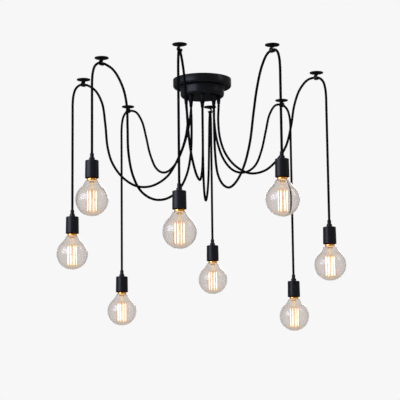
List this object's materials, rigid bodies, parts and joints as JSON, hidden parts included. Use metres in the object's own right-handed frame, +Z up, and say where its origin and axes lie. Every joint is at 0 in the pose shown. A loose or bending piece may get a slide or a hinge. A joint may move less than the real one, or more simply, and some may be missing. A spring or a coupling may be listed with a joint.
{
  "type": "spider pendant light",
  "caption": "Black spider pendant light: a two-tier ceiling canopy feeds cords that sag to ceiling hooks and hang down to bare round filament bulbs.",
  "frame": {"origin": "middle of the ceiling bracket's top face, in the plane of the ceiling", "axes": "+Z up, out of the ceiling plane away from the light; +X to the right and +Y away from the viewer as in the picture"},
  "size_m": [0.8664, 0.954, 0.7555],
  "materials": {
    "black_paint": "satin",
    "black_plastic": "satin",
    "cord_cover": "matt weave",
    "zinc_steel": "zinc plated",
    "white_plastic": "matt",
    "cap_brass": "bright",
    "bulb_glass": "clear, slightly tinted"
  },
  "bodies": {
    "ceiling_parts": {"canopy_shell": "black_paint", "ceiling_bracket": "zinc_steel", "canopy_screw": "black_paint", "terminal_block": "white_plastic", "cord_grip_1": "black_plastic", "ceiling_hook_1": "black_paint", "swag_cord_1": "cord_cover", "cord_grip_2": "black_plastic", "ceiling_hook_2": "black_paint", "swag_cord_2": "cord_cover", "cord_grip_3": "black_plastic", "ceiling_hook_3": "black_paint", "swag_cord_3": "cord_cover", "cord_grip_4": "black_plastic", "ceiling_hook_4": "black_paint", "swag_cord_4": "cord_cover", "cord_grip_5": "black_plastic", "ceiling_hook_5": "black_paint", "swag_cord_5": "cord_cover", "cord_grip_6": "black_plastic", "ceiling_hook_6": "black_paint", "swag_cord_6": "cord_cover", "cord_grip_7": "black_plastic", "ceiling_hook_7": "black_paint", "swag_cord_7": "cord_cover", "cord_grip_8": "black_plastic", "ceiling_hook_8": "black_paint", "swag_cord_8": "cord_cover"},
    "hanging_lamp_1": {"drop_cord_1": "cord_cover", "lamp_socket_1": "black_plastic"},
    "bulb_glass_1": {"bulb_globe_1": "bulb_glass"},
    "bulb_cap_1": {"bulb_base_1": "cap_brass"},
    "hanging_lamp_2": {"drop_cord_2": "cord_cover", "lamp_socket_2": "black_plastic"},
    "bulb_glass_2": {"bulb_globe_2": "bulb_glass"},
    "bulb_cap_2": {"bulb_base_2": "cap_brass"},
    "hanging_lamp_3": {"drop_cord_3": "cord_cover", "lamp_socket_3": "black_plastic"},
    "bulb_glass_3": {"bulb_globe_3": "bulb_glass"},
    "bulb_cap_3": {"bulb_base_3": "cap_brass"},
    "hanging_lamp_4": {"drop_cord_4": "cord_cover", "lamp_socket_4": "black_plastic"},
    "bulb_glass_4": {"bulb_globe_4": "bulb_glass"},
    "bulb_cap_4": {"bulb_base_4": "cap_brass"},
    "hanging_lamp_5": {"drop_cord_5": "cord_cover", "lamp_socket_5": "black_plastic"},
    "bulb_glass_5": {"bulb_globe_5": "bulb_glass"},
    "bulb_cap_5": {"bulb_base_5": "cap_brass"},
    "hanging_lamp_6": {"drop_cord_6": "cord_cover", "lamp_socket_6": "black_plastic"},
    "bulb_glass_6": {"bulb_globe_6": "bulb_glass"},
    "bulb_cap_6": {"bulb_base_6": "cap_brass"},
    "hanging_lamp_7": {"drop_cord_7": "cord_cover", "lamp_socket_7": "black_plastic"},
    "bulb_glass_7": {"bulb_globe_7": "bulb_glass"},
    "bulb_cap_7": {"bulb_base_7": "cap_brass"},
    "hanging_lamp_8": {"drop_cord_8": "cord_cover", "lamp_socket_8": "black_plastic"},
    "bulb_glass_8": {"bulb_globe_8": "bulb_glass"},
    "bulb_cap_8": {"bulb_base_8": "cap_brass"}
  },
  "joints": [
    {"name": "swing_1", "type": "hinge", "parent": "ceiling_parts", "child": "hanging_lamp_1", "pos_m": [0.37482, -0.08411, -0.1], "axis": [-0.2507, -0.9681, 0], "range_deg": [-15, 15]},
    {"name": "screw_lift_1", "type": "slide", "parent": "hanging_lamp_1", "child": "bulb_glass_1", "axis": [0, 0, -1], "range_m": [0, 0.01815]},
    {"name": "screw_turn_1", "type": "hinge", "parent": "bulb_glass_1", "child": "bulb_cap_1", "pos_m": [0.37482, -0.08411, -0.3], "axis": [0, 0, -1], "range_deg": [0, 1800]},
    {"name": "swing_2", "type": "hinge", "parent": "ceiling_parts", "child": "hanging_lamp_2", "pos_m": [0.29015, 0.32275, -0.1], "axis": [0.7483, -0.6634, 0], "range_deg": [-15, 15]},
    {"name": "screw_lift_2", "type": "slide", "parent": "hanging_lamp_2", "child": "bulb_glass_2", "axis": [0, 0, -1], "range_m": [0, 0.01815]},
    {"name": "screw_turn_2", "type": "hinge", "parent": "bulb_glass_2", "child": "bulb_cap_2", "pos_m": [0.29015, 0.32275, -0.3], "axis": [0, 0, -1], "range_deg": [0, 1800]},
    {"name": "swing_3", "type": "hinge", "parent": "ceiling_parts", "child": "hanging_lamp_3", "pos_m": [0.0292, 0.41217, -0.1], "axis": [0.9968, -0.0804, 0], "range_deg": [-15, 15]},
    {"name": "screw_lift_3", "type": "slide", "parent": "hanging_lamp_3", "child": "bulb_glass_3", "axis": [0, 0, -1], "range_m": [0, 0.01815]},
    {"name": "screw_turn_3", "type": "hinge", "parent": "bulb_glass_3", "child": "bulb_cap_3", "pos_m": [0.0292, 0.41217, -0.3], "axis": [0, 0, -1], "range_deg": [0, 1800]},
    {"name": "swing_4", "type": "hinge", "parent": "ceiling_parts", "child": "hanging_lamp_4", "pos_m": [-0.27101, 0.39616, -0.1], "axis": [0.8372, 0.5468, 0], "range_deg": [-15, 15]},
    {"name": "screw_lift_4", "type": "slide", "parent": "hanging_lamp_4", "child": "bulb_glass_4", "axis": [0, 0, -1], "range_m": [0, 0.01815]},
    {"name": "screw_turn_4", "type": "hinge", "parent": "bulb_glass_4", "child": "bulb_cap_4", "pos_m": [-0.27101, 0.39616, -0.3], "axis": [0, 0, -1], "range_deg": [0, 1800]},
    {"name": "swing_5", "type": "hinge", "parent": "ceiling_parts", "child": "hanging_lamp_5", "pos_m": [-0.39824, -0.02468, -0.1], "axis": [-0.0707, 0.9975, 0], "range_deg": [-15, 15]},
    {"name": "screw_lift_5", "type": "slide", "parent": "hanging_lamp_5", "child": "bulb_glass_5", "axis": [0, 0, -1], "range_m": [0, 0.01815]},
    {"name": "screw_turn_5", "type": "hinge", "parent": "bulb_glass_5", "child": "bulb_cap_5", "pos_m": [-0.39824, -0.02468, -0.3], "axis": [0, 0, -1], "range_deg": [0, 1800]},
    {"name": "swing_6", "type": "hinge", "parent": "ceiling_parts", "child": "hanging_lamp_6", "pos_m": [-0.31807, -0.30703, -0.1], "axis": [-0.6929, 0.721, 0], "range_deg": [-15, 15]},
    {"name": "screw_lift_6", "type": "slide", "parent": "hanging_lamp_6", "child": "bulb_glass_6", "axis": [0, 0, -1], "range_m": [0, 0.01815]},
    {"name": "screw_turn_6", "type": "hinge", "parent": "bulb_glass_6", "child": "bulb_cap_6", "pos_m": [-0.31807, -0.30703, -0.3], "axis": [0, 0, -1], "range_deg": [0, 1800]},
    {"name": "swing_7", "type": "hinge", "parent": "ceiling_parts", "child": "hanging_lamp_7", "pos_m": [-0.06745, -0.44803, -0.1], "axis": [-0.9859, 0.1671, 0], "range_deg": [-15, 15]},
    {"name": "screw_lift_7", "type": "slide", "parent": "hanging_lamp_7", "child": "bulb_glass_7", "axis": [0, 0, -1], "range_m": [0, 0.01815]},
    {"name": "screw_turn_7", "type": "hinge", "parent": "bulb_glass_7", "child": "bulb_cap_7", "pos_m": [-0.06745, -0.44803, -0.3], "axis": [0, 0, -1], "range_deg": [0, 1800]},
    {"name": "swing_8", "type": "hinge", "parent": "ceiling_parts", "child": "hanging_lamp_8", "pos_m": [0.21671, -0.44856, -0.1], "axis": [-0.9157, -0.4019, 0], "range_deg": [-15, 15]},
    {"name": "screw_lift_8", "type": "slide", "parent": "hanging_lamp_8", "child": "bulb_glass_8", "axis": [0, 0, -1], "range_m": [0, 0.01815]},
    {"name": "screw_turn_8", "type": "hinge", "parent": "bulb_glass_8", "child": "bulb_cap_8", "pos_m": [0.21671, -0.44856, -0.3], "axis": [0, 0, -1], "range_deg": [0, 1800]}
  ],
  "couplings": [
    {"joint": "screw_lift_1", "follows": "screw_turn_1", "m_per_rad": 0.00057757},
    {"joint": "screw_lift_2", "follows": "screw_turn_2", "m_per_rad": 0.00057757},
    {"joint": "screw_lift_3", "follows": "screw_turn_3", "m_per_rad": 0.00057757},
    {"joint": "screw_lift_4", "follows": "screw_turn_4", "m_per_rad": 0.00057757},
    {"joint": "screw_lift_5", "follows": "screw_turn_5", "m_per_rad": 0.00057757},
    {"joint": "screw_lift_6", "follows": "screw_turn_6", "m_per_rad": 0.00057757},
    {"joint": "screw_lift_7", "follows": "screw_turn_7", "m_per_rad": 0.00057757},
    {"joint": "screw_lift_8", "follows": "screw_turn_8", "m_per_rad": 0.00057757}
  ]
}
